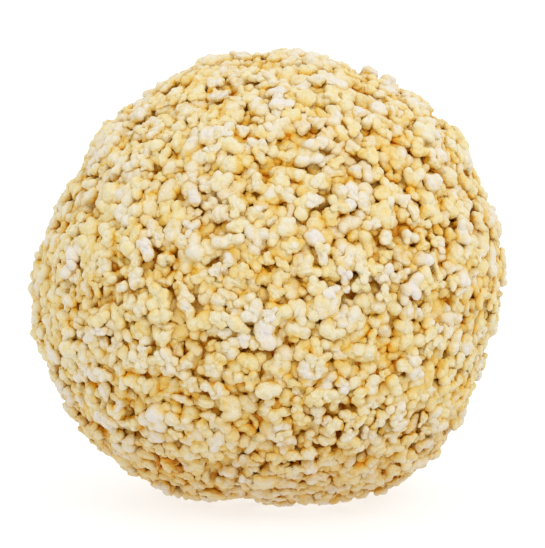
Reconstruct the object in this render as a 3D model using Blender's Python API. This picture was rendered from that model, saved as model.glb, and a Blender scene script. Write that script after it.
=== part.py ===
"""A ladoo of popped amaranth: grains set in syrup and pressed by hand into a ball.

The ball is one solid. Its outline has the soft flats and shoulders that palms leave, its skin is a
relief of grain-sized bumps with a gap all round each, and loose grains stand proud of it, fused on.
It rests on a small flat spot. Metres, +Z up; the origin is the middle of the flat spot and -Y is the front.
"""
import math
import random

import bmesh
import bpy
from mathutils import Quaternion, Vector, noise

MM = 0.001

# Driving dimensions.
MEAN_RADIUS = 25.5 * MM     # from the ball's middle to its outermost grains
MIDDLE_HEIGHT = 23.45 * MM  # the ball's middle above what it rests on
REST_RADIUS = 6.2 * MM      # of the flat spot
DEPTH_LOSS = 0.018          # how much less the ball reaches to the front and back, as a share
# Each row is one wave of the palm-pressed outline, as seen from the front: how many crests it has,
# its height as a share of the radius, and where its first crest is, in degrees from +X towards +Z.
PALM_WAVES = (
    (2, 0.0200, 26.9),
    (3, 0.0162, -38.6),
    (4, 0.0143, 33.2),
    (5, 0.0095, 23.9),
    (6, 0.0088, 3.5),
)
LUMP_HEIGHT = 0.30 * MM     # broad, shallow lumps on the sides that the outline doesn't set
LUMP_PITCH = 1.7            # lumps to a radius

# The skin of packed grains.
GRAIN_PITCH = 1.93 * MM     # least distance between the middles of two grains
ROUND_SHARE = 0.4           # of the grains have one top; the rest are long, with a top near each end
LOBE_REACH = 0.42           # of the way from a long grain's middle to the gap at an end, for the top there
TOP_SINK = (0.0 * MM, 0.60 * MM)  # of the tops of grains, below the outermost ones
GAP_SINK = (1.05 * MM, 1.50 * MM)  # of the gaps between grains, below the outermost ones

# The loose grains on top of the skin.
LOOSE_PITCH = 10.4 * MM     # least distance between two of them
LOOSE_SINK = 0.35 * MM      # of a loose grain's middle, below the outermost grains of the skin
CROWN_TURNS = (65, 70)      # a pair more stand out on the outline here, in degrees from +X towards +Z
GRAIN_LENGTH = 2.70 * MM
GRAIN_GIRTH = 1.90 * MM     # across its larger lobe
WAIST_SHARE = 0.80          # of the lobe's girth, between the two lobes
LOBE_PLACE = 0.52           # of the way from the grain's middle to its tip, for each lobe
SIZE_SPREAD = 0.14          # of a grain's size, either way
GRAIN_SIDES = 6
BARE_ANGLE = math.radians(38)  # no loose grain lies this near to straight below the middle

TRIES_PER_CELL = 60         # draws for each place that a spread could hold
SEED = 16
COLOUR = (0.80, 0.62, 0.33, 1.0)
ROUGHNESS = 0.6

MIDDLE = Vector((0, 0, MIDDLE_HEIGHT))
UP = Vector((0, 0, 1))


def clear_scene():
    for old in list(bpy.data.objects):
        bpy.data.objects.remove(old)


def pressed_radius(way):
    """From the ball's middle to its outermost grains, in a unit direction."""
    angle = math.atan2(way.z, way.x)
    side = math.hypot(way.x, way.z)
    swell = sum(
        height * side**crests * math.cos(crests * (angle - math.radians(first)))
        for crests, height, first in PALM_WAVES
    )
    face = 1 - side * side
    lump = LUMP_HEIGHT * face * noise.noise(way * LUMP_PITCH)
    return MEAN_RADIUS * (1 + swell - DEPTH_LOSS * face) + lump


def on_ball(way, sink):
    """The point this way that lies sink below the outermost grains or, under the ball, on its flat spot."""
    if -way.z * REST_RADIUS > math.hypot(way.x, way.y) * MIDDLE_HEIGHT:
        return Vector((way.x, way.y, 0)) * (MIDDLE_HEIGHT / -way.z)
    point = MIDDLE + way * (pressed_radius(way) - sink)
    point.z = max(point.z, 0)
    return point


def random_way(draw):
    height = draw.uniform(-1, 1)
    turn = draw.uniform(0, 2 * math.pi)
    level = math.sqrt(1 - height * height)
    return Vector((level * math.cos(turn), level * math.sin(turn), height))


def spread_ways(pitch, draw):
    """Random unit directions, no two nearer than pitch on the ball, drawn until hardly any more fit."""
    least = pitch / MEAN_RADIUS
    boxes = {}
    kept = []
    for _ in range(int(TRIES_PER_CELL / least**2)):
        way = random_way(draw)
        home = tuple(math.floor(value / least) for value in way)
        near = (
            other
            for x in (-1, 0, 1)
            for y in (-1, 0, 1)
            for z in (-1, 0, 1)
            for other in boxes.get((home[0] + x, home[1] + y, home[2] + z), ())
        )
        if all((way - other).length >= least for other in near):
            boxes.setdefault(home, []).append(way)
            kept.append(way)
    return kept


def faces_round(corner):
    """The faces that meet at a corner of a closed mesh, in order round it."""
    start = corner.link_loops[0]
    ring = [start.face]
    step = start.link_loop_prev.link_loop_radial_next
    while step != start:
        ring.append(step.face)
        step = step.link_loop_prev.link_loop_radial_next
    return ring


def round_grain(skin, middle, gaps, draw):
    """A grain of the skin with one top, from which it slopes to the gaps round it."""
    top = skin.verts.new(on_ball((middle - MIDDLE).normalized(), draw.uniform(*TOP_SINK)))
    for gap, after in zip(gaps, gaps[1:] + gaps[:1]):
        skin.faces.new((top, gap, after))


def long_grain(skin, middle, gaps, draw):
    """A grain of the skin with a ridge between two tops, along its longest reach."""
    reaches = [gap.co - middle for gap in gaps]
    first = max(range(len(gaps)), key=lambda index: reaches[index].length)
    gaps = gaps[first:] + gaps[:first]
    reaches = reaches[first:] + reaches[:first]
    far = min(range(len(gaps)), key=lambda index: reaches[0].dot(reaches[index]))
    ways = [(middle + reach * LOBE_REACH - MIDDLE).normalized() for reach in (reaches[0], reaches[far])]
    tops = [skin.verts.new(on_ball(way, draw.uniform(*TOP_SINK))) for way in ways]
    ends = []
    for index in range(len(gaps)):
        along = index + 0.5
        ends.append(tops[abs(along - far) < min(along, len(gaps) - along)])
    for index, (gap, end) in enumerate(zip(gaps, ends)):
        skin.faces.new((end, gap, gaps[(index + 1) % len(gaps)]))
        if ends[index - 1] is not end:
            skin.faces.new((gap, end, ends[index - 1]))


def packed_skin(draw):
    """A closed mesh of grains side by side, with a gap where three of them meet."""
    web = bmesh.new()
    for way in spread_ways(GRAIN_PITCH, draw):
        web.verts.new(way)
    bmesh.ops.convex_hull(web, input=web.verts)
    bmesh.ops.recalc_face_normals(web, faces=web.faces)
    web.faces.index_update()

    skin = bmesh.new()
    gaps = [
        skin.verts.new(on_ball(face.calc_center_median().normalized(), draw.uniform(*GAP_SINK)))
        for face in web.faces
    ]
    for grain in web.verts:
        middle = on_ball(grain.co.normalized(), GAP_SINK[0])
        shape = round_grain if draw.random() < ROUND_SHARE else long_grain
        shape(skin, middle, [gaps[face.index] for face in faces_round(grain)], draw)
    web.free()
    bmesh.ops.recalc_face_normals(skin, faces=skin.faces)
    return skin


def loose_grain(draw):
    """A popped grain along X, at the origin: two puffed lobes with a waist between them."""
    size = 1 + draw.uniform(-SIZE_SPREAD, SIZE_SPREAD)
    half = GRAIN_LENGTH / 2 * size
    lobe = GRAIN_GIRTH / 2 * size
    rings = (
        (-LOBE_PLACE * half, lobe),
        (0, lobe * WAIST_SHARE),
        (LOBE_PLACE * half, lobe * draw.uniform(WAIST_SHARE, 1)),
    )
    turns = [2 * math.pi * side / GRAIN_SIDES for side in range(GRAIN_SIDES)]
    grain = bmesh.new()
    loops = [
        [grain.verts.new((along, girth * math.cos(turn), girth * math.sin(turn))) for turn in turns]
        for along, girth in rings
    ]
    for loop, next_loop in zip(loops, loops[1:]):
        for side in range(GRAIN_SIDES):
            grain.faces.new((loop[side - 1], loop[side], next_loop[side], next_loop[side - 1]))
    for end, loop in ((-half, loops[0]), (half, loops[-1])):
        tip = grain.verts.new((end, 0, 0))
        for side in range(GRAIN_SIDES):
            grain.faces.new((tip, loop[side - 1], loop[side]))
    bmesh.ops.recalc_face_normals(grain, faces=grain.faces)
    return grain


def mesh_object(name, shape, collection):
    mesh = bpy.data.meshes.new(name)
    shape.to_mesh(mesh)
    shape.free()
    made = bpy.data.objects.new(name, mesh)
    collection.objects.link(made)
    return made


def loose_grains(draw):
    """A collection of grains that lie on the skin, each turned its own way."""
    collection = bpy.data.collections.new("loose_grains")
    bpy.context.scene.collection.children.link(collection)
    ways = [way for way in spread_ways(LOOSE_PITCH, draw) if way.angle(-UP) > BARE_ANGLE]
    for turn in CROWN_TURNS:
        ways.append(Vector((math.cos(math.radians(turn)), 0, math.sin(math.radians(turn)))))
    for way in ways:
        grain = mesh_object("loose_grain", loose_grain(draw), collection)
        spin = Quaternion(UP, draw.uniform(0, 2 * math.pi))
        grain.rotation_mode = "QUATERNION"
        grain.rotation_quaternion = UP.rotation_difference(way) @ spin
        grain.location = on_ball(way, LOOSE_SINK)
    return collection


def fuse(ball, collection):
    """Joins the collection's objects into the ball's own mesh, and removes them."""
    union = ball.modifiers.new("fuse_grains", "BOOLEAN")
    union.operation = "UNION"
    union.operand_type = "COLLECTION"
    union.collection = collection
    union.solver = "EXACT"
    bpy.context.view_layer.update()
    graph = bpy.context.evaluated_depsgraph_get()
    fused = bpy.data.meshes.new_from_object(ball.evaluated_get(graph))
    ball.modifiers.clear()
    ball.data = fused
    for grain in list(collection.objects):
        bpy.data.objects.remove(grain)
    bpy.data.collections.remove(collection)


def popped_amaranth():
    finish = bpy.data.materials.new("popped_amaranth")
    finish.use_nodes = True
    shader = finish.node_tree.nodes["Principled BSDF"]
    shader.inputs["Base Color"].default_value = COLOUR
    shader.inputs["Roughness"].default_value = ROUGHNESS
    return finish


def main():
    clear_scene()
    draw = random.Random(SEED)
    ball = mesh_object("ladoo", packed_skin(draw), bpy.context.scene.collection)
    fuse(ball, loose_grains(draw))
    ball.data.materials.clear()
    ball.data.materials.append(popped_amaranth())
    ball.data.shade_smooth()


main()
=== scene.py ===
"""The looks of an amaranth ladoo: thousands of popped grains set in syrup, over a core.

The grains fill a shell on the form of the CAD ball. Each is a shape of its own, made of a few puffed
lobes. They start at random places, are pressed apart until they lie side by side, and are then joined
into one mesh for each form of grain. Metres, +Z up, and the photo's view looks along +Y, a little down.
"""

import math

import bpy
import numpy as np
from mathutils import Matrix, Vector, kdtree, noise


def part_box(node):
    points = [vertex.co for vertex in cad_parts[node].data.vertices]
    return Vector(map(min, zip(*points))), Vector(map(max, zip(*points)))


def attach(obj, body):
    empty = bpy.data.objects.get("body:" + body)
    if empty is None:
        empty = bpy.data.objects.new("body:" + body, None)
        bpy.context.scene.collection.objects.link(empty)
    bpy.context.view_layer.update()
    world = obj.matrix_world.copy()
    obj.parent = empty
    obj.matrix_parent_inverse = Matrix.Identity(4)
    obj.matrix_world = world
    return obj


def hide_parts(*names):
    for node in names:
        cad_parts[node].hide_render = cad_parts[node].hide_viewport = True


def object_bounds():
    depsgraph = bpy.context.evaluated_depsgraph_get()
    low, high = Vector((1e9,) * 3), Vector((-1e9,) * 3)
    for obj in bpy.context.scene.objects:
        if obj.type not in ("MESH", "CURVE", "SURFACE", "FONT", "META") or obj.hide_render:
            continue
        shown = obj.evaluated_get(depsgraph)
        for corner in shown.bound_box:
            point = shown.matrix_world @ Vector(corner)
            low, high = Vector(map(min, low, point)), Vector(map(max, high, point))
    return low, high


MM = 0.001

TINY = 1e-12                 # added to a cosine or an angle before dividing by it, in case it is zero
LEAST_LENGTH = 1e-9          # the same for a length

# The shell of grains, measured inwards from the ball's outermost grains.
FLAT_HEIGHT = 1 * MM         # the CAD ball's skin below this is its flat spot
RELIEF_RISE = 0.33 * MM      # the outermost grains, above the mean of the CAD ball's skin
# Each layer: how many grains, the least and greatest sink of their outer ends, and how deep they go.
LAYERS = (
    (2900, -0.28 * MM, 0.60 * MM, 2.8 * MM),
    (1750, 0.68 * MM, 1.08 * MM, 4.2 * MM),
)
GRAIN_COUNT = sum(layer[0] for layer in LAYERS)
PLACE_JITTER = 0.35          # of the distance between two grains of a layer, before they are pressed
CLUMP_HEIGHT = 0.80 * MM     # of the soft clumps and hollows that the grains form between them
CLUMP_PITCH = 6.5            # clumps to a radius
CORE_SINK = 1.32 * MM        # of the tops of the core's own grains
CORE_RELIEF = 0.55 * MM      # how much lower the core lies half way to the next top
CORE_GRAINS = 3600
CORE_ROWS = 60               # of triangles along each edge of the core's octahedron
CORE_FLOOR = 0.6 * MM        # the core's underside, above what the ball rests on
CORE_TONE = 0.5
CORE_SHADE = (2.2, 1.5)      # its shade at a top, and how much more half way to the next
OVERLAP = 0.32               # how far touching lobes sink into each other, as a share of their radii
LOBE_BULK = 0.4              # how much a lobe's own size resists turning, as a share of its radius
SETTLE_STEPS = 64
STEPS_PER_SEARCH = 8         # between two searches for neighbours
SEARCH_SLACK = 0.3 * MM      # lobes this far apart are still watched until the next search
OUTWARD_DRIFT = 0.03 * MM    # a step outwards before each push, so that the skin fills; it dies away
# Two round grains stand out on the outline: where, in degrees from +X towards +Z as the photo shows
# them, and how far.
PROUD_GRAINS = ((62.3, 1.15 * MM), (56.5, 1.20 * MM))
# Where the outline bulges or dips: its turn in degrees from +X towards +Z, its height and its width
# in degrees. It fades towards the front and the back, the faster the greater BULGE_FADE is.
BULGE_FADE = 4
OUTLINE_BULGES = (
    (6, -0.30 * MM, 5),
    (23, -0.75 * MM, 5),
    (40, 0.60 * MM, 7),
    (47, 0.45 * MM, 3),
    (60, -0.65 * MM, 4.5),
    (80, 0.35 * MM, 4),
    (93, -0.35 * MM, 4),
    (103, 0.40 * MM, 8),
    (124, -0.35 * MM, 4),
    (142, 0.55 * MM, 7),
    (163, -0.25 * MM, 6),
    (195, 0.35 * MM, 5),
    (210, -0.50 * MM, 5),
    (232, -0.45 * MM, 5),
    (253, 0.30 * MM, 6),
    (302, 0.35 * MM, 5),
    (328, 0.25 * MM, 4),
    (340, -0.60 * MM, 6),
    (353, 0.35 * MM, 4),
)

# The forms of grain. Each lists the lobes round its middle: (x, y, z, radius), in units of GRAIN_UNIT.
GRAIN_UNIT = 1.40 * MM
FORMS = {
    "round": (
        (0, 0, 0, 0.66), (0.36, 0.20, 0.1, 0.42), (-0.30, -0.30, 0.2, 0.40), (0.05, 0.42, -0.2, 0.36),
    ),
    "bean": ((-0.34, 0, 0, 0.58), (0.50, 0.05, 0, 0.50), (0.1, 0.22, 0.1, 0.40)),
    "trefoil": (
        (-0.1, 0, 0, 0.56), (0.54, 0.12, 0, 0.44), (-0.34, 0.52, 0, 0.40), (-0.30, -0.50, 0.06, 0.42),
    ),
    "curl": (
        (-0.2, 0, 0, 0.50), (0.40, 0.06, 0, 0.46), (0.68, 0.46, 0.1, 0.34), (-0.62, 0.42, 0, 0.34),
    ),
    "puff": (
        (0, 0, 0, 0.60), (0.50, 0.28, 0.12, 0.40), (-0.44, 0.42, -0.08, 0.38),
        (-0.20, -0.54, 0.14, 0.40), (0.1, 0.02, 0.52, 0.36),
    ),
    "knobbly": (
        (0, 0, 0, 0.50), (0.56, -0.14, 0, 0.42), (-0.52, -0.20, 0.1, 0.42),
        (0.04, 0.54, 0.08, 0.38), (0.1, -0.1, 0.46, 0.34), (-0.3, 0.2, -0.42, 0.34),
    ),
}
FORM_SHARES = {
    "round": 0.14, "bean": 0.19, "trefoil": 0.17, "curl": 0.15, "puff": 0.18, "knobbly": 0.17,
}
NUBS = 2                     # small lobes more, anywhere on a grain
NUB_PLACES = (0.40 * GRAIN_UNIT, 0.66 * GRAIN_UNIT)
NUB_RADII = (0.25 * GRAIN_UNIT, 0.39 * GRAIN_UNIT)
LOBES = max(len(lobes) for lobes in FORMS.values()) + NUBS
LOBE_WANDER = 0.13 * MM      # how far a lobe strays from its form's place
LOBE_SPREAD = 0.14           # of a lobe's radius, either way
SIZE_SPREAD = 0.15           # of a grain's size, as one standard deviation
SIZE_LIMITS = (0.74, 1.34)
FLATTEST = 0.76              # a grain's least thickness, as a share
BEND = 0.15 / MM             # how hard the most curled grains curl
LOBE_BLEND = 15              # how sharply one lobe gives way to the next
BLUR_STEPS = 3               # that spread a grain's shade over its skin
PUFFS = 3                    # sets of puffs with folds between them, over a grain
PUFF_WAVES = (2.8, 5.4)      # radians of their waves along a grain's radius
PUFF_HEIGHT = 0.10 * MM
PUFF_LEVEL = 0.6             # of a puff's height, where it neither adds to the grain nor takes from it
FOLD_LEVEL = 0.3             # of a puff's height, below which it is creased
CREASE_DEPTH = 0.055 * MM
CREASE_WIDTH = 0.06 * MM     # how much one lobe stands above the next at the edge of a crease
# The germ shows golden, as a spot on some grains and as part of a ring on others.
SPOT_SHARE = 0.3             # of the grains
SPOT_EDGE = 0.80             # the cosine to the spot's middle where it starts
SPOT_FADE = 0.14             # how much more that cosine is where the spot is full
RING_SHARE = 0.35            # of the grains
RING_WIDTH = 0.20            # of its half, as a cosine
RING_END = -0.2              # the cosine to the spot's place where the ring ends
RING_STRENGTH = 0.7
GERM_DEPTH = 0.06 * MM
NEIGHBOURS = 24              # lobes of other grains that each grain is held against
INWARD_SHADE = 1.0           # the view that a point facing straight into the ball loses, halved
BRIDGE_WIDTH = 0.34 * MM     # of the syrup that bridges touching grains
BRIDGE_RISE = 0.10 * MM      # how far it fills the groove between them, more where the groove is steep
BRIDGE_SLOPE = 0.35          # the cosine that counts for anything steeper

# Rows of triangles along each edge of a grain's octahedron, by how deep the grain's middle lies.
DETAIL = ((0.83 * MM, 7), (1.17 * MM, 6), (1.6 * MM, 4), (math.inf, 3))
OUTWARD_SHARE = 0.50         # how far each grain's points crowd to its outward side
UV_MARGIN = 0.04             # round each grain's square of the UV map, as a share of it

SEED = 5

# The photo's view, in pixels of its frame.
FRAME_SIZE = (545, 548)
BALL_CENTRE = (265, 274)
BALL_WIDTH = 477
ELEVATION = math.radians(8)
LENS = 200                   # mm, on a 36 mm sensor
SENSOR = 36
CLIP_START = 0.01

# The studio.
SKY_LIGHT = 0.92             # of the studio all round, and how much it gains from level to straight up
SKY_SLOPE = 0.08
KEY_PLACE = (0.20, -0.32, 0.33)  # from the ball's middle
KEY_SIZE = 0.25
KEY_POWER = 0.40             # watts
FLOOR_REACH = 3.0            # from its middle to each side
FLOOR_DROP = 0.02 * MM       # below the foot of the grains, so that the two don't share a plane
FLOOR_GREY = (0.35, 0.35, 0.35, 1)
FLOOR_GLOW = 0.72
FLOOR_ROUGHNESS = 0.8
WHITE = (1, 1, 1, 1)


# The form of the ball.

class Ball:
    """The CAD ball's form without its relief: how far it reaches from its middle, in each direction."""

    CRESTS = 6               # the most waves round the ball that the form keeps

    def __init__(self, node):
        low, high = (np.array(corner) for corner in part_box(node))
        self.middle = (low + high) / 2
        skin = np.array([vertex.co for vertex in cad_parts[node].data.vertices])
        skin = skin[skin[:, 2] > FLAT_HEIGHT] - self.middle
        lengths = np.linalg.norm(skin, axis=1)
        self.heights = np.linalg.lstsq(self.waves(skin / lengths[:, None]), lengths, rcond=None)[0]

    def waves(self, ways):
        """Every smooth wave over the sphere with up to CRESTS crests, at these unit directions."""
        x, y, z = ways.T
        powers = [
            (a, b, degree - a - b)
            for degree in (self.CRESTS - 1, self.CRESTS)
            for a in range(degree + 1)
            for b in range(degree - a + 1)
        ]
        return np.stack([x**a * y**b * z**c for a, b, c in powers], axis=1)

    def reach(self, ways):
        """From the middle to the outermost grains."""
        across = ways[:, 0]
        up = ways[:, 1] * math.sin(ELEVATION) + ways[:, 2] * math.cos(ELEVATION)
        turn = np.degrees(np.arctan2(up, across))
        side = np.hypot(across, up)
        reach = self.waves(ways) @ self.heights + RELIEF_RISE
        for middle, height, width in OUTLINE_BULGES:
            away = (turn - middle + 180) % 360 - 180
            reach += height * side**BULGE_FADE * np.exp(-((away / width) ** 2) / 2)
        return reach

    def depth(self, points):
        """How far below the outermost grains these points lie, and their directions from the middle."""
        arms = points - self.middle
        lengths = np.linalg.norm(arms, axis=1)
        ways = arms / lengths[:, None]
        return self.reach(ways) - lengths, ways


# The shapes of the grains.

class Grains:
    """Every grain: its form, size and lobes, and where it lies and how it is turned."""

    def __init__(self, draw, ball):
        count = GRAIN_COUNT
        names = list(FORMS)
        self.form = draw.choice(len(names), count, p=[FORM_SHARES[name] for name in names])
        self.lobes = np.zeros((count, LOBES, 3))
        self.radii = np.zeros((count, LOBES))
        for index, name in enumerate(names):
            mine = self.form == index
            lobes = np.array(FORMS[name]) * GRAIN_UNIT
            self.lobes[mine, :len(lobes)] = lobes[:, :3]
            self.radii[mine, :len(lobes)] = lobes[:, 3]
        for nub in range(-NUBS, 0):
            self.lobes[:, nub] = random_ways(draw, count) * draw.uniform(*NUB_PLACES, count)[:, None]
            self.radii[:, nub] = draw.uniform(*NUB_RADII, count)
        has = self.radii > 0
        self.lobes += draw.uniform(-LOBE_WANDER, LOBE_WANDER, self.lobes.shape) * has[..., None]
        self.radii *= 1 + draw.uniform(-LOBE_SPREAD, LOBE_SPREAD, self.radii.shape)
        size = np.exp(draw.normal(0, SIZE_SPREAD, count)).clip(*SIZE_LIMITS)
        self.lobes *= size[:, None, None]
        self.radii *= size[:, None]
        self.flatness = draw.uniform(FLATTEST, 1, count)
        self.bend = draw.uniform(0, BEND, count)

        self.owner, self.which = np.nonzero(has)
        self.turns = random_turns(draw, count)
        ways = np.concatenate([spiral_ways(draw, layer[0]) for layer in LAYERS])
        self.sinks = np.concatenate([draw.uniform(layer[1], layer[2], layer[0]) for layer in LAYERS])
        self.floors = np.concatenate([np.full(layer[0], layer[3]) for layer in LAYERS])
        clumps = np.array([noise.noise(Vector(way) * CLUMP_PITCH) for way in ways])
        self.sinks += CLUMP_HEIGHT * clumps
        rounds = self.form == names.index("round")
        for turn, rise in PROUD_GRAINS:
            way = outline_way(turn)
            proud = np.argmax(np.where(rounds, ways @ way, -1))
            rounds[proud] = False
            ways[proud] = way
            self.sinks[proud] = -rise
        depths = self.sinks + self.radii.max(1)
        self.spots = ball.middle + ways * (ball.reach(ways) - depths)[:, None]
        self.tone = draw.uniform(*TONE_RANGE, count)

    def shaped(self, points, of):
        """These points of grains, in each grain's own axes, flattened and curled as the grain is."""
        points = points.copy()
        points[..., 2] *= self.flatness[of]
        points[..., 1] += self.bend[of] * points[..., 0] ** 2
        return points

    def placed(self, points, of):
        """The same points where their grains lie."""
        return self.spots[of] + np.einsum("nij,nj->ni", self.turns[of], points)


def random_ways(draw, count):
    ways = draw.normal(size=(count, 3))
    return ways / np.linalg.norm(ways, axis=1)[:, None]


def spiral_ways(draw, count):
    """Directions spread evenly along a spiral from pole to pole, each then shifted a little."""
    place = np.arange(count) + 0.5
    height = 1 - 2 * place / count
    turn = place * math.pi * (3 - math.sqrt(5))
    level = np.sqrt(1 - height**2)
    ways = np.stack([level * np.cos(turn), level * np.sin(turn), height], axis=1)
    ways += draw.normal(0, PLACE_JITTER * math.sqrt(4 * math.pi / count), ways.shape)
    return ways / np.linalg.norm(ways, axis=1)[:, None]


def outline_way(turn):
    """The direction of a point on the photo's outline, in degrees from +X towards +Z."""
    angle = math.radians(turn)
    rise = math.sin(angle)
    return np.array([math.cos(angle), rise * math.sin(ELEVATION), rise * math.cos(ELEVATION)])


def random_turns(draw, count):
    """Random rotation matrices, from the frame of two random directions."""
    first = random_ways(draw, count)
    third = np.cross(first, random_ways(draw, count))
    third /= np.linalg.norm(third, axis=1)[:, None]
    return np.stack([first, np.cross(third, first), third], axis=2)


def turned(turns, spins):
    """These rotation matrices, each turned further about its spin vector by that vector's length."""
    angle = np.linalg.norm(spins, axis=1) + TINY
    axis = spins / angle[:, None]
    cross = np.zeros((len(spins), 3, 3))
    cross[:, 0, 1], cross[:, 0, 2], cross[:, 1, 2] = -axis[:, 2], axis[:, 1], -axis[:, 0]
    cross -= cross.transpose(0, 2, 1)
    step = np.eye(3) + np.sin(angle)[:, None, None] * cross
    step += (1 - np.cos(angle))[:, None, None] * (cross @ cross)
    return step @ turns


# Pressing the grains together.

def tree_of(points):
    tree = kdtree.KDTree(len(points))
    for index, point in enumerate(points):
        tree.insert(point, index)
    tree.balance()
    return tree


def close_pairs(points, owner, reach):
    """Every pair of points of different grains that lie nearer than reach."""
    tree = tree_of(points)
    pairs = np.array([
        (index, other)
        for index, point in enumerate(points)
        for _, other, _ in tree.find_range(point, reach)
        if other > index
    ])
    return pairs[owner[pairs[:, 0]] != owner[pairs[:, 1]]].T


def summed(values, owner, count):
    """The sum of each owner's own vectors."""
    return np.stack([np.bincount(owner, values[:, axis], count) for axis in range(3)], axis=1)


def settle(grains, ball):
    """Pushes grains apart where their lobes overlap, and back inside the shell, and turns them."""
    count = len(grains.spots)
    owner, which = grains.owner, grains.which
    arms = grains.shaped(grains.lobes[owner, which], owner)
    radii = grains.radii[owner, which] * (1 - OVERLAP)
    sinks = grains.sinks[owner]
    floors = grains.floors[owner]
    inertia = np.bincount(owner, (arms**2).sum(1) + (LOBE_BULK * radii) ** 2, count)
    for step in range(SETTLE_STEPS):
        _, ways = ball.depth(grains.spots)
        grains.spots += ways * OUTWARD_DRIFT * (1 - step / SETTLE_STEPS)
        lobes = grains.placed(arms, owner)
        if step % STEPS_PER_SEARCH == 0:
            first, second = close_pairs(lobes, owner, 2 * radii.max())
            length = np.linalg.norm(lobes[second] - lobes[first], axis=1)
            near = length < radii[first] + radii[second] + SEARCH_SLACK
            first, second = first[near], second[near]
        apart = lobes[second] - lobes[first]
        length = np.linalg.norm(apart, axis=1) + LEAST_LENGTH
        press = (radii[first] + radii[second] - length).clip(0)
        push = apart / length[:, None] * press[:, None] / 2
        move = summed(push, second, len(lobes)) - summed(push, first, len(lobes))

        depth, ways = ball.depth(lobes)
        too_high = (sinks + radii - depth).clip(0)
        too_deep = (depth + radii - floors).clip(0)
        move += ways * (too_deep - too_high)[:, None]
        move[:, 2] += (radii - lobes[:, 2]).clip(0)

        touched = np.bincount(owner, np.linalg.norm(move, axis=1) > 0, count).clip(1)
        grains.spots += summed(move, owner, count) / touched[:, None]
        lever = np.cross(lobes - grains.spots[owner], move)
        grains.turns = turned(grains.turns, summed(lever, owner, count) / inertia[:, None])


# The mesh of a grain.

class SplitSphere:
    """A sphere split as an octahedron: directions, triangles, and each corner's place on a square."""

    def __init__(self, rows):
        places = {}
        self.ways, self.triangles, self.corners = [], [], []
        for signs in np.ndindex(2, 2, 2):
            sign = 1 - 2 * np.array(signs)
            for i in range(rows):
                for j in range(rows - i):
                    self.add(places, rows, sign, (i, j), (i + 1, j), (i, j + 1))
                    if i + j < rows - 1:
                        self.add(places, rows, sign, (i + 1, j), (i + 1, j + 1), (i, j + 1))
        self.ways = np.array(self.ways)
        self.triangles = np.array(self.triangles)
        self.corners = np.array(self.corners)

    def blur(self):
        """The matrix that spreads each corner's value over the corners round it, BLUR_STEPS times."""
        links = np.eye(len(self.ways))
        for step in (1, 2):
            links[self.triangles, np.roll(self.triangles, step, axis=1)] = 1
        return np.linalg.matrix_power(links / links.sum(0), BLUR_STEPS)

    def add(self, places, rows, sign, *steps):
        """One triangle. Its corners are steps along the X and Y sides of the octant that sign names."""
        if sign.prod() < 0:
            steps = steps[::-1]
        triangle, corners = [], []
        for i, j in steps:
            share = np.array((i, j, rows - i - j)) / rows
            place = tuple(np.rint(share * sign * rows).astype(int))
            if place not in places:
                places[place] = len(self.ways)
                way = np.sin(share * math.pi / 2) * sign
                self.ways.append(way / np.linalg.norm(way))
            triangle.append(places[place])
            flat = share[:2] if sign[2] > 0 else 1 - share[1::-1]
            corners.append((flat * sign[:2] + 1) / 2)
        self.triangles.append(triangle)
        self.corners.append(corners)


def crowded(ways):
    """The same unit directions, crowded towards +Z."""
    angle = np.arccos(ways[:, 2].clip(-1, 1))
    level = np.hypot(ways[:, 0], ways[:, 1]) + TINY
    nearer = angle - OUTWARD_SHARE * np.sin(angle)
    return np.column_stack([ways[:, :2] * (np.sin(nearer) / level)[:, None], np.cos(nearer)])


def outward_ways(grains, chosen, ball, ways):
    """Each chosen grain's copy of these directions, in its axes, their +Z facing out of the ball."""
    _, out = ball.depth(grains.spots[chosen])
    side = np.cross(out, grains.turns[chosen][:, :, 0])
    side /= np.linalg.norm(side, axis=1)[:, None]
    facing = np.stack([np.cross(side, out), side, out], axis=2)
    return np.einsum("nji,njk,vk->nvi", grains.turns[chosen], facing, crowded(ways))


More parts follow.
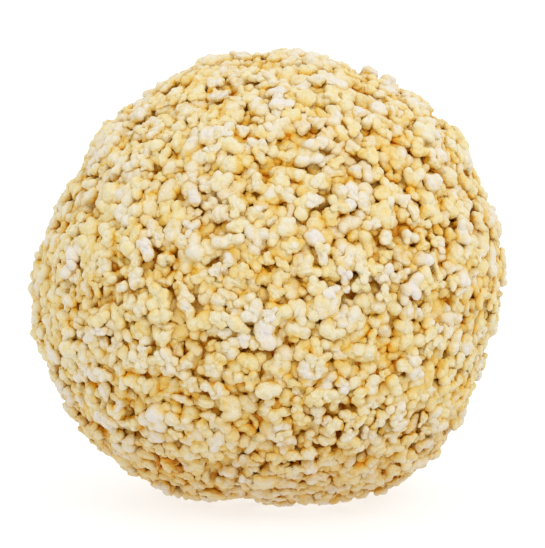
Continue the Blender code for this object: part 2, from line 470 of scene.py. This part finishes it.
def grain_points(grains, chosen, ways, draw):
    """The skins of these grains where they lie: each point, the way it faces, its crease and its germ."""
    lobes, radii = grains.lobes[chosen], grains.radii[chosen]
    along = np.einsum("nkj,nvj->nkv", lobes, ways)
    chord = radii[..., None] ** 2 - (lobes**2).sum(2)[..., None] + along**2
    reach = np.where((chord > 0) & (radii[..., None] > 0), along + np.sqrt(chord.clip(0)), 0).clip(0)
    ranked = np.sort(reach, axis=1)
    crease = np.exp(-(ranked[:, -1] - ranked[:, -2]) / CREASE_WIDTH)
    top = ranked[:, -1:]
    reach = top[:, 0] * ((reach / top) ** LOBE_BLEND).sum(1) ** (1 / LOBE_BLEND)

    def along_random_aims(scale=1.0):
        """How far each direction goes along an aim of its grain's own, of this length."""
        aims = random_ways(draw, len(chosen)) * scale
        return np.einsum("nj,nvj->nv", aims, ways)

    for _ in range(PUFFS):
        phase = draw.uniform(0, 2 * math.pi, len(chosen))[:, None]
        waves = draw.uniform(*PUFF_WAVES, len(chosen))[:, None]
        swell = np.abs(np.sin(along_random_aims(waves) + phase))
        reach += PUFF_HEIGHT * (swell - PUFF_LEVEL)
        crease = np.maximum(crease, 1 - swell / FOLD_LEVEL)
    reach -= CREASE_DEPTH * crease

    spot = along_random_aims()
    has_spot = draw.random(len(chosen)) < SPOT_SHARE
    germ = ((spot - SPOT_EDGE) / SPOT_FADE).clip(0, 1) * has_spot[:, None]
    has_ring = draw.random(len(chosen)) < RING_SHARE
    ring = (1 - np.abs(along_random_aims()) / RING_WIDTH).clip(0, 1)
    ring *= (spot > RING_END) * has_ring[:, None]
    germ = np.maximum(germ, ring * RING_STRENGTH)
    reach -= GERM_DEPTH * germ

    of = np.repeat(chosen, ways.shape[1])
    points = grains.placed(grains.shaped((reach[..., None] * ways).reshape(-1, 3), of), of)
    facing = np.einsum("nij,nvj->nvi", grains.turns[chosen], ways)
    return points.reshape(len(chosen), -1, 3), facing, crease, germ


class Touching:
    """How near each grain's skin comes to the grains round it."""

    def __init__(self, grains):
        owner, which = grains.owner, grains.which
        self.lobes = grains.placed(grains.shaped(grains.lobes[owner, which], owner), owner)
        self.radii = grains.radii[owner, which]
        tree = tree_of(self.lobes)
        near = []
        for index, spot in enumerate(grains.spots):
            lobes = [lobe for _, lobe, _ in tree.find_n(spot, NEIGHBOURS + LOBES)]
            near.append([lobe for lobe in lobes if owner[lobe] != index][:NEIGHBOURS])
        self.near = np.array(near)

    def shade(self, chosen, points, facing, out):
        """How much of its view out each point of these grains loses to the grains round it."""
        lost = (1 - np.einsum("nvi,ni->nv", facing, out)) * INWARD_SHADE
        for lobe in self.near[chosen].T:
            apart = self.lobes[lobe][:, None] - points
            away = np.linalg.norm(apart, axis=2)
            near = (self.radii[lobe][:, None] / np.maximum(away, self.radii[lobe][:, None])) ** 2
            toward = np.einsum("nvi,nvi->nv", apart, facing) / away
            lost += near * toward.clip(0)
        return lost

    def touch(self, chosen, points):
        """How near each point of these grains is to another grain: 1 where they touch, down to 0."""
        nearest = np.full(points.shape[:2], math.inf)
        for lobe in self.near[chosen].T:
            gap = np.linalg.norm(points - self.lobes[lobe][:, None], axis=2) - self.radii[lobe][:, None]
            nearest = np.minimum(nearest, gap)
        return np.exp(-nearest.clip(0) / BRIDGE_WIDTH)


def joined_mesh(name, points, triangles, corners, values):
    """One object from arrays, smooth, with its UV map and its named values at each point."""
    mesh = bpy.data.meshes.new(name)
    mesh.vertices.add(len(points))
    mesh.vertices.foreach_set("co", points.ravel())
    mesh.loops.add(triangles.size)
    mesh.loops.foreach_set("vertex_index", triangles.ravel())
    mesh.polygons.add(len(triangles))
    mesh.polygons.foreach_set("loop_start", np.arange(0, triangles.size, 3))
    mesh.update(calc_edges=True)
    mesh.uv_layers.new(name="OFBake")
    mesh.uv_layers["OFBake"].uv.foreach_set("vector", corners.ravel())
    for key, value in values.items():
        mesh.attributes.new(key, "FLOAT", "POINT").data.foreach_set("value", value)
    mesh.shade_smooth()
    made = bpy.data.objects.new(name, mesh)
    bpy.context.scene.collection.objects.link(made)
    return made


def grain_piece(name, grains, chosen, ball, touching, draw):
    """The chosen grains as one object. Each has its own square of the UV map."""
    across = math.ceil(math.sqrt(len(chosen)))
    depths, _ = ball.depth(grains.spots)
    points, triangles, corners, values = [], [], [], []
    start = square = 0
    shallow = -math.inf
    for deepest, rows in DETAIL:
        some = chosen[(depths[chosen] > shallow) & (depths[chosen] <= deepest)]
        shallow = deepest
        sphere = SplitSphere(rows)
        aims = outward_ways(grains, some, ball, sphere.ways)
        skins, facing, crease, germ = grain_points(grains, some, aims, draw)
        _, out = ball.depth(grains.spots[some])
        touch = touching.touch(some, skins)
        slope = np.einsum("nvi,ni->nv", facing, out).clip(BRIDGE_SLOPE)
        skins += out[:, None] * (touch / slope)[..., None] * BRIDGE_RISE
        shade = touching.shade(some, skins, facing, out) @ sphere.blur()
        tone = np.repeat(grains.tone[some], len(sphere.ways))
        values.append(np.stack([tone, crease.ravel(), germ.ravel(), shade.ravel()]))
        points.append(skins.reshape(-1, 3))
        first = start + np.arange(len(some))[:, None, None] * len(sphere.ways)
        triangles.append((first + sphere.triangles).reshape(-1, 3))
        squares = square + np.arange(len(some))
        home = np.stack([squares % across, squares // across], axis=1)
        inset = UV_MARGIN + (1 - 2 * UV_MARGIN) * sphere.corners
        corners.append(((home[:, None, None] + inset) / across).reshape(-1, 2))
        start += len(points[-1])
        square += len(some)
    points = np.concatenate(points)
    depth, _ = ball.depth(points)
    points[:, 2] = points[:, 2].clip(0)
    tone, crease, germ, shade = np.concatenate(values, axis=1)
    values = {"tone": tone, "crease": crease, "germ": germ, "shade": shade, "depth": depth / MM}
    return joined_mesh(name, points, np.concatenate(triangles), np.concatenate(corners), values)


def core_piece(ball, draw):
    """What shows at the bottom of the deepest gaps: the tops of the grains inside, side by side."""
    sphere = SplitSphere(CORE_ROWS)
    tops = spiral_ways(draw, CORE_GRAINS)
    tree = tree_of(tops)
    half_way = math.sqrt(math.pi / CORE_GRAINS)
    away = np.array([tree.find(way)[2] for way in sphere.ways]) / half_way
    reach = ball.reach(sphere.ways) - CORE_SINK - CORE_RELIEF * away**2
    points = ball.middle + sphere.ways * reach[:, None]
    points[:, 2] = points[:, 2].clip(CORE_FLOOR)
    depth, _ = ball.depth(points)
    none = np.zeros(len(points))
    shade = CORE_SHADE[0] + CORE_SHADE[1] * away**2
    tone = none + CORE_TONE
    values = {"tone": tone, "crease": none, "germ": none, "shade": shade, "depth": depth / MM}
    return joined_mesh("core", points, sphere.triangles, sphere.corners, values)


# Colours and finish.

def linear(value):
    """A screen colour's value, from 0 to 255, as a share of the light, by the standard screen curve."""
    share = value / 255
    return share / 12.92 if share <= 0.04045 else ((share + 0.055) / 1.055) ** 2.4


def screen(red, green, blue):
    """A colour as it looks on a screen, as the shader's own values."""
    return linear(red), linear(green), linear(blue), 1


TONES = (
    (0.00, screen(240, 232, 222)),   # white, from the grain's bare middle
    (0.30, screen(242, 233, 209)),   # ivory
    (0.60, screen(243, 230, 186)),   # cream
    (0.85, screen(241, 219, 156)),   # straw
    (1.00, screen(234, 198, 114)),   # golden
)
# What syrup and painted shade leave of the light that falls on a grain, from a bare face to the bottom of
# a gap: where the grains round a point hide its view, the shade is painted in as a darker, more orange
# tint.
STAIN_AND_SHADE_TINTS = (
    (0.00, (1.00, 1.00, 1.00, 1)),
    (0.15, (1.00, 0.945, 0.76, 1)),
    (0.35, (0.99, 0.845, 0.50, 1)),
    (0.60, (0.97, 0.73, 0.22, 1)),
    (0.80, (0.97, 0.62, 0.06, 1)),
    (1.00, (1.00, 0.49, 0.01, 1)),
)
TONE_RANGE = (0.0, 0.68)     # of whole grains
TONE_WANDER = 0.6            # how far the tone wanders across a grain, in patches of the size below
TONE_PATCH = 0.9 * MM
# What is added to the shade that a point gets from the grains round it: painted shade in a crease, the
# germ's own golden colour, and syrup stain with painted shade for depth and towards the foot.
CREASE_SHADE = 0.32
GERM_STAIN = 0.7
DEPTH_STAIN_AND_SHADE = 1.1            # syrup stain and painted shade, for each millimetre below the outermost grains
FOOT_STAIN_AND_SHADE = 0.6
FOOT_HEIGHT = 14 * MM        # below this the grains get more syrup stain and painted shade, darker down to the foot
# Painted shade, darker towards the foot where the ball sits on the floor.
FOOT_SHADE_TINT = (0.90, 0.82, 0.80, 1)
STAIN_AND_SHADE_RANGE = (0.03, 3.58)   # the shade where the syrup stain and painted shade start and where they are full
# Some patches took more syrup, and the rest took less.
STAIN_PATCH = 1.3 * MM
PATCH_RANGE = (0.465, 0.73)  # the noise at a patch's edge and where it is full
PATCH_MEAN = 1 / 3
PATCH_GAIN = 0.65            # how much more of the stain a patch takes, as a share
PATCH_STAIN = 0.30           # what it takes besides, even on a bare face
BUMP_SIZE = 0.3 * MM
BUMP_HEIGHT = 0.20 * MM
ROUGHNESS = 0.6              # at the least, where there is no syrup
ROUGH_WANDER = 0.2           # how much rougher it gets, in patches of the size below
ROUGH_PATCH = 0.7 * MM
SYRUP_GLOSS = 0.2            # how much less rough it is where the stain and painted shade are full


def maths(tree, operation, first, second=0.0, third=0.0):
    """The result of a Math node. Each of its inputs is a number or another node's output."""
    made = tree.nodes.new("ShaderNodeMath")
    made.operation = operation
    for socket, value in zip(made.inputs, (first, second, third)):
        if isinstance(value, bpy.types.NodeSocket):
            tree.links.new(value, socket)
        else:
            socket.default_value = value
    return made.outputs[0]


def value_of(tree, name):
    """A value that the mesh keeps at each of its points."""
    made = tree.nodes.new("ShaderNodeAttribute")
    made.attribute_name = name
    return made.outputs["Fac"]


def speckle(tree, size):
    """Noise from 0 to 1 with lumps of this size in metres."""
    places = tree.nodes.new("ShaderNodeTexCoord").outputs["Object"]
    made = tree.nodes.new("ShaderNodeTexNoise")
    made.inputs["Scale"].default_value = 1 / size
    tree.links.new(places, made.inputs["Vector"])
    return made.outputs["Fac"]


def height_in(tree, places):
    """How high a point is, in these coordinates."""
    made = tree.nodes.new("ShaderNodeSeparateXYZ")
    tree.links.new(tree.nodes.new("ShaderNodeTexCoord").outputs[places], made.inputs["Vector"])
    return made.outputs["Z"]


def spread(tree, value, low, high):
    """This value, from 0 at low to 1 at high."""
    made = tree.nodes.new("ShaderNodeMapRange")
    tree.links.new(value, made.inputs["Value"])
    made.inputs["From Min"].default_value = low
    made.inputs["From Max"].default_value = high
    return made.outputs["Result"]


def tinted(tree, share, colour, tint):
    """This colour times this share of the tint."""
    made = tree.nodes.new("ShaderNodeMix")
    made.data_type = "RGBA"
    made.blend_type = "MULTIPLY"
    for name, value in (("Factor_Float", share), ("A_Color", colour), ("B_Color", tint)):
        socket = next(put for put in made.inputs if put.identifier == name)
        if isinstance(value, bpy.types.NodeSocket):
            tree.links.new(value, socket)
        else:
            socket.default_value = value
    return next(put for put in made.outputs if put.identifier == "Result_Color")


def ramp(tree, value, stops):
    made = tree.nodes.new("ShaderNodeValToRGB")
    while len(made.color_ramp.elements) < len(stops):
        made.color_ramp.elements.new(1)
    for (place, colour), stop in zip(stops, made.color_ramp.elements):
        stop.position = place
        stop.color = colour
    tree.links.new(value, made.inputs["Fac"])
    return made.outputs["Color"]


def popped_amaranth():
    """Puffed grain: its own tone, golden at its germ, stained where syrup has run between grains, with
    painted shade, darker and more orange, in gaps, creases, hollows and towards the foot.
    """
    finish = bpy.data.materials.new("popped_amaranth_grains")
    finish.use_nodes = True
    tree = finish.node_tree
    shader = tree.nodes["Principled BSDF"]

    tone = maths(tree, "MULTIPLY_ADD", speckle(tree, TONE_PATCH), TONE_WANDER, value_of(tree, "tone"))
    colour = ramp(tree, maths(tree, "SUBTRACT", tone, TONE_WANDER / 2), TONES)

    # Painted shade and more syrup stain, growing towards the foot.
    foot_stain_and_shade = spread(tree, height_in(tree, "Object"), FOOT_HEIGHT, 0)
    # The shade that the grains round a point cast is painted into its colour, with more for creases,
    # depth and the foot.
    shade = value_of(tree, "shade")
    for more, strength in (
        (value_of(tree, "crease"), CREASE_SHADE),
        (value_of(tree, "germ"), GERM_STAIN),
        (value_of(tree, "depth"), DEPTH_STAIN_AND_SHADE),
        (foot_stain_and_shade, FOOT_STAIN_AND_SHADE),
    ):
        shade = maths(tree, "MULTIPLY_ADD", more, strength, shade)
    shade = spread(tree, shade, *STAIN_AND_SHADE_RANGE)

    # The share of its stain and painted shade that a point takes: by its patch, but all of it in the
    # deepest gaps.
    patch = spread(tree, speckle(tree, STAIN_PATCH), *PATCH_RANGE)
    share = maths(tree, "MULTIPLY_ADD", patch, PATCH_GAIN, 1 - PATCH_GAIN * PATCH_MEAN)
    share = maths(tree, "MULTIPLY_ADD", shade, maths(tree, "SUBTRACT", 1, share), share)
    stain_and_shade = maths(tree, "MULTIPLY", shade, share)
    stain_and_shade = maths(tree, "MULTIPLY_ADD", patch, PATCH_STAIN, stain_and_shade)
    # Syrup stain and painted shade darken the grain's own colour.
    colour = tinted(tree, 1.0, colour, ramp(tree, stain_and_shade, STAIN_AND_SHADE_TINTS))
    # The foot's painted shade.
    colour = tinted(tree, foot_stain_and_shade, colour, FOOT_SHADE_TINT)
    tree.links.new(colour, shader.inputs["Base Color"])

    bump = tree.nodes.new("ShaderNodeBump")
    bump.inputs["Distance"].default_value = BUMP_HEIGHT
    tree.links.new(speckle(tree, BUMP_SIZE), bump.inputs["Height"])
    tree.links.new(bump.outputs["Normal"], shader.inputs["Normal"])
    rough = maths(tree, "MULTIPLY_ADD", speckle(tree, ROUGH_PATCH), ROUGH_WANDER, ROUGHNESS)
    rough = maths(tree, "MULTIPLY_ADD", stain_and_shade, -SYRUP_GLOSS, rough)
    tree.links.new(rough, shader.inputs["Roughness"])
    return finish


# The studio.

def floor():
    """A pale floor that glows, so that it looks white without lighting the ball from below."""
    half = FLOOR_REACH
    corners = [(-half, -half, 0), (half, -half, 0), (half, half, 0), (-half, half, 0)]
    mesh = bpy.data.meshes.new("floor")
    mesh.from_pydata(corners, [], [(0, 1, 2, 3)])
    made = bpy.data.objects.new("floor", mesh)
    bpy.context.scene.collection.objects.link(made)
    made.location.z = -FLOOR_DROP
    made.visible_diffuse = False
    finish = bpy.data.materials.new("white_sweep")
    finish.use_nodes = True
    shader = finish.node_tree.nodes["Principled BSDF"]
    shader.inputs["Base Color"].default_value = FLOOR_GREY
    shader.inputs["Roughness"].default_value = FLOOR_ROUGHNESS
    shader.inputs["Emission Color"].default_value = WHITE
    shader.inputs["Emission Strength"].default_value = FLOOR_GLOW
    mesh.materials.append(finish)


def soft_light(name, place, size, power, target):
    lamp = bpy.data.lights.new(name, "AREA")
    lamp.shape = "DISK"
    lamp.size = size
    lamp.energy = power
    made = bpy.data.objects.new(name, lamp)
    made.location = place
    made.rotation_euler = (target - made.location).to_track_quat("-Z", "Y").to_euler()
    bpy.context.scene.collection.objects.link(made)


def studio(middle):
    world = bpy.data.worlds.new("studio")
    world.use_nodes = True
    tree = world.node_tree
    light = maths(tree, "MULTIPLY_ADD", height_in(tree, "Generated"), SKY_SLOPE, SKY_LIGHT)
    tree.links.new(light, tree.nodes["Background"].inputs["Strength"])
    tree.nodes["Background"].inputs["Color"].default_value = WHITE
    bpy.context.scene.world = world
    bpy.context.scene.view_settings.view_transform = "Standard"
    target = Vector(middle)
    soft_light("key", target + Vector(KEY_PLACE), KEY_SIZE, KEY_POWER, target)


def photo_camera(middle, width):
    """The photo's view, from slightly above, of the ball with this middle and this width."""
    lens = bpy.data.cameras.new("photo_camera")
    lens.lens = LENS
    lens.sensor_width = SENSOR
    made = bpy.data.objects.new("photo_camera", lens)
    bpy.context.scene.collection.objects.link(made)
    pixel = width / BALL_WIDTH
    distance = pixel * max(FRAME_SIZE) * LENS / SENSOR
    back = Vector((0, -math.cos(ELEVATION), math.sin(ELEVATION)))
    up = Vector((0, math.sin(ELEVATION), math.cos(ELEVATION)))
    aside = Vector((1, 0, 0)) * (FRAME_SIZE[0] / 2 - BALL_CENTRE[0]) * pixel
    above = up * (BALL_CENTRE[1] - FRAME_SIZE[1] / 2) * pixel
    made.location = Vector(middle) + back * distance + aside + above
    made.rotation_euler = (-back).to_track_quat("-Z", "Y").to_euler()
    lens.clip_start = CLIP_START
    bpy.context.scene.camera = made


# The whole.

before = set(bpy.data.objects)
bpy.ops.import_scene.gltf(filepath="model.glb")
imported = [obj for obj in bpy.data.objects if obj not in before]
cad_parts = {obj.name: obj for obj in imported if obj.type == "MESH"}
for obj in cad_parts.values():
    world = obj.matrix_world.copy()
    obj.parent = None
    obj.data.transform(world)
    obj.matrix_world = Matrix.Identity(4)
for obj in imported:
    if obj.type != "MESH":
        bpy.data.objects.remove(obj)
cad_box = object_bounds()
draw = np.random.default_rng(SEED)
ball = Ball("ladoo")
grains = Grains(draw, ball)
settle(grains, ball)
touching = Touching(grains)

photo_camera(ball.middle, cad_box[1][0] - cad_box[0][0])
studio(ball.middle)
floor()

grain_finish = popped_amaranth()
pieces = []
for index, form in enumerate(FORMS):
    chosen = np.nonzero(grains.form == index)[0]
    pieces.append(grain_piece(f"{form}_grains", grains, chosen, ball, touching, draw))
pieces.append(core_piece(ball, draw))
for piece in pieces:
    piece.data.materials.append(grain_finish)
    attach(piece, "root")
    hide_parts("ladoo")
